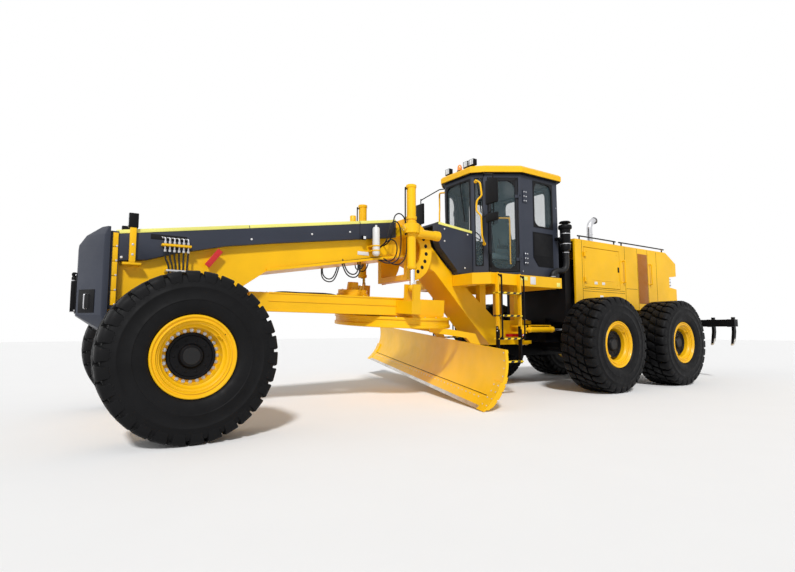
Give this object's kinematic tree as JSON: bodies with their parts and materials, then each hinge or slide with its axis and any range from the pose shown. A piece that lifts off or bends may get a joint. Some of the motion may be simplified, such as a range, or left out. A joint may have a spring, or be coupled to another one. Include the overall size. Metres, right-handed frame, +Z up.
{
  "type": "motor grader",
  "caption": "Large articulated motor grader with raised front beam, circle-mounted blade, cab on the front frame, tandem drive wheels and rear ripper.",
  "frame": {"origin": "on the ground, on the centreline, below the articulation pivot", "axes": "+X forward, +Y to the machine's left, +Z up"},
  "size_m": [14.25, 6.8775, 4.66],
  "materials": {
    "yellow_paint": "gloss",
    "grey_paint": "satin",
    "black_paint": "satin",
    "tyre_rubber": "matt",
    "window_glass": "clear",
    "chrome": "polished",
    "exhaust_steel": "brushed",
    "engine_iron": "rough",
    "seat_fabric": "woven"
  },
  "bodies": {
    "rear_frame": {"rear_frame": "black_paint", "tandem_cases": "black_paint", "engine": "engine_iron", "hood": "yellow_paint", "rear_grille": "black_paint", "exhaust": "exhaust_steel"},
    "front_frame": {"front_frame": "yellow_paint", "nose_block": "grey_paint", "beam_covers": "grey_paint", "blade_saddle": "yellow_paint", "lift_barrels": "yellow_paint", "front_axle": "yellow_paint", "cab_platform": "yellow_paint", "cab_frame": "grey_paint", "cab_roof": "yellow_paint", "cab_glass": "window_glass", "operator_station": "seat_fabric", "ladders": "yellow_paint", "cab_rails": "yellow_paint", "mirrors": "black_paint", "roof_lamps": "black_paint", "air_cleaner": "black_paint"},
    "drawbar": {"drawbar": "yellow_paint"},
    "circle": {"circle": "yellow_paint", "circle_arms": "yellow_paint"},
    "blade_tip": {"tip_brackets": "yellow_paint"},
    "blade": {"moldboard": "yellow_paint", "blade_rails": "yellow_paint"},
    "ripper_arms": {"ripper_arms": "black_paint"},
    "ripper": {"ripper_beam": "black_paint"},
    "cab_door_left": {"cab_door_left": "grey_paint", "door_glass_left": "window_glass"},
    "engine_door_left": {"engine_door_left": "yellow_paint"},
    "lean_left": {"lean_bracket_left": "black_paint"},
    "steer_left": {"knuckle_left": "black_paint"},
    "lift_rod_left": {"lift_rod_left": "chrome"},
    "articulation_barrel_left": {"articulation_barrel_left": "yellow_paint"},
    "articulation_rod_left": {"articulation_rod_left": "chrome"},
    "wheel_front_left": {"rim_front_left": "yellow_paint", "tyre_front_left": "tyre_rubber"},
    "wheel_mid_left": {"rim_mid_left": "yellow_paint", "tyre_mid_left": "tyre_rubber"},
    "wheel_rear_left": {"rim_rear_left": "yellow_paint", "tyre_rear_left": "tyre_rubber"},
    "cab_door_right": {"cab_door_right": "grey_paint", "door_glass_right": "window_glass"},
    "engine_door_right": {"engine_door_right": "yellow_paint"},
    "lean_right": {"lean_bracket_right": "black_paint"},
    "steer_right": {"knuckle_right": "black_paint"},
    "lift_rod_right": {"lift_rod_right": "chrome"},
    "articulation_barrel_right": {"articulation_barrel_right": "yellow_paint"},
    "articulation_rod_right": {"articulation_rod_right": "chrome"},
    "wheel_front_right": {"rim_front_right": "yellow_paint", "tyre_front_right": "tyre_rubber"},
    "wheel_mid_right": {"rim_mid_right": "yellow_paint", "tyre_mid_right": "tyre_rubber"},
    "wheel_rear_right": {"rim_rear_right": "yellow_paint", "tyre_rear_right": "tyre_rubber"}
  },
  "joints": [
    {"name": "articulation", "type": "hinge", "parent": "rear_frame", "child": "front_frame", "pos_m": [0, 0, 1.18], "axis": [0, 0, 1], "range_deg": [-20, 20]},
    {"name": "cab_door_left_open", "type": "hinge", "parent": "front_frame", "child": "cab_door_left", "pos_m": [1.10486, 0.9713, 3.2], "axis": [0, 0, 1], "range_deg": [0, 80]},
    {"name": "engine_door_left_open", "type": "hinge", "parent": "rear_frame", "child": "engine_door_left", "pos_m": [-0.95, 0.97, 2.6], "axis": [0, 0, -1], "range_deg": [0, 100]},
    {"name": "wheel_lean_left", "type": "hinge", "parent": "front_frame", "child": "lean_left", "pos_m": [7.3, 0.9, 0.755], "axis": [1, 0, 0], "range_deg": [-18, 18]},
    {"name": "steering_left", "type": "hinge", "parent": "lean_left", "child": "steer_left", "pos_m": [7.3, 1.15, 0.945], "axis": [0, 0, 1], "range_deg": [-45, 45]},
    {"name": "lift_left_extend", "type": "slide", "parent": "front_frame", "child": "lift_rod_left", "axis": [0, 0, 1], "range_m": [-0.3, 0.2]},
    {"name": "articulation_left_swing", "type": "hinge", "parent": "front_frame", "child": "articulation_barrel_left", "pos_m": [0.62, 0.56, 1.24], "axis": [0, 0, 1], "range_deg": [-13, 13]},
    {"name": "articulation_left_extend", "type": "slide", "parent": "articulation_barrel_left", "child": "articulation_rod_left", "axis": [1, 0, 0], "range_m": [-0.2, 0.2]},
    {"name": "wheel_front_left_roll", "type": "hinge", "parent": "steer_left", "child": "wheel_front_left", "pos_m": [7.3, 1.6, 0.945], "axis": [0, 1, 0], "continuous": true},
    {"name": "wheel_mid_left_roll", "type": "hinge", "parent": "rear_frame", "child": "wheel_mid_left", "pos_m": [-0.6, 1.6, 0.945], "axis": [0, 1, 0], "continuous": true},
    {"name": "wheel_rear_left_roll", "type": "hinge", "parent": "rear_frame", "child": "wheel_rear_left", "pos_m": [-3.1, 1.6, 0.945], "axis": [0, 1, 0], "continuous": true},
    {"name": "cab_door_right_open", "type": "hinge", "parent": "front_frame", "child": "cab_door_right", "pos_m": [1.10486, -0.9713, 3.2], "axis": [0, 0, -1], "range_deg": [0, 80]},
    {"name": "engine_door_right_open", "type": "hinge", "parent": "rear_frame", "child": "engine_door_right", "pos_m": [-0.95, -0.97, 2.6], "axis": [0, 0, 1], "range_deg": [0, 100]},
    {"name": "wheel_lean_right", "type": "hinge", "parent": "front_frame", "child": "lean_right", "pos_m": [7.3, -0.9, 0.755], "axis": [1, 0, 0], "range_deg": [-18, 18]},
    {"name": "steering_right", "type": "hinge", "parent": "lean_right", "child": "steer_right", "pos_m": [7.3, -1.15, 0.945], "axis": [0, 0, 1], "range_deg": [-45, 45]},
    {"name": "lift_right_extend", "type": "slide", "parent": "front_frame", "child": "lift_rod_right", "axis": [0, 0, 1], "range_m": [-0.3, 0.2]},
    {"name": "articulation_right_swing", "type": "hinge", "parent": "front_frame", "child": "articulation_barrel_right", "pos_m": [0.62, -0.56, 1.24], "axis": [0, 0, 1], "range_deg": [-13, 13]},
    {"name": "articulation_right_extend", "type": "slide", "parent": "articulation_barrel_right", "child": "articulation_rod_right", "axis": [1, 0, 0], "range_m": [-0.2, 0.2]},
    {"name": "wheel_front_right_roll", "type": "hinge", "parent": "steer_right", "child": "wheel_front_right", "pos_m": [7.3, -1.6, 0.945], "axis": [0, 1, 0], "continuous": true},
    {"name": "wheel_mid_right_roll", "type": "hinge", "parent": "rear_frame", "child": "wheel_mid_right", "pos_m": [-0.6, -1.6, 0.945], "axis": [0, 1, 0], "continuous": true},
    {"name": "wheel_rear_right_roll", "type": "hinge", "parent": "rear_frame", "child": "wheel_rear_right", "pos_m": [-3.1, -1.6, 0.945], "axis": [0, 1, 0], "continuous": true},
    {"name": "drawbar_lift", "type": "hinge", "parent": "front_frame", "child": "drawbar", "pos_m": [6.3, 0, 1.68], "axis": [0, 1, 0], "range_deg": [-6, 2.6]},
    {"name": "circle_turn", "type": "hinge", "parent": "drawbar", "child": "circle", "pos_m": [3.25, -0.3, 1.68], "axis": [-0.0065, 0.066, 0.9978], "range_deg": [-4, 16]},
    {"name": "blade_tip", "type": "hinge", "parent": "circle", "child": "blade_tip", "pos_m": [2.01037, -0.02632, 0.31738], "axis": [0.2792, 0.9583, -0.0615], "range_deg": [-3, 35]},
    {"name": "blade_side_shift", "type": "slide", "parent": "blade_tip", "child": "blade", "axis": [0.2792, 0.9583, -0.0615], "range_m": [-0.1, 1.3]},
    {"name": "ripper_lift", "type": "hinge", "parent": "rear_frame", "child": "ripper_arms", "pos_m": [-4.64, 0, 1.2], "axis": [0, 1, 0], "range_deg": [-65, 8]},
    {"name": "ripper_level", "type": "hinge", "parent": "ripper_arms", "child": "ripper", "pos_m": [-5.4, 0, 1.38], "axis": [0, 1, 0], "range_deg": [-8, 65]}
  ],
  "couplings": [
    {"joint": "lift_left_extend", "follows": "drawbar_lift", "m_per_rad": 2.68},
    {"joint": "articulation_left_swing", "follows": "articulation", "ratio": -0.605},
    {"joint": "articulation_left_extend", "follows": "articulation", "m_per_rad": 0.5565},
    {"joint": "lift_right_extend", "follows": "drawbar_lift", "m_per_rad": 2.68},
    {"joint": "articulation_right_swing", "follows": "articulation", "ratio": -0.605},
    {"joint": "articulation_right_extend", "follows": "articulation", "m_per_rad": -0.5565},
    {"joint": "wheel_lean_right", "follows": "wheel_lean_left", "ratio": 1},
    {"joint": "steering_right", "follows": "steering_left", "ratio": 1},
    {"joint": "ripper_level", "follows": "ripper_lift", "ratio": -1}
  ]
}
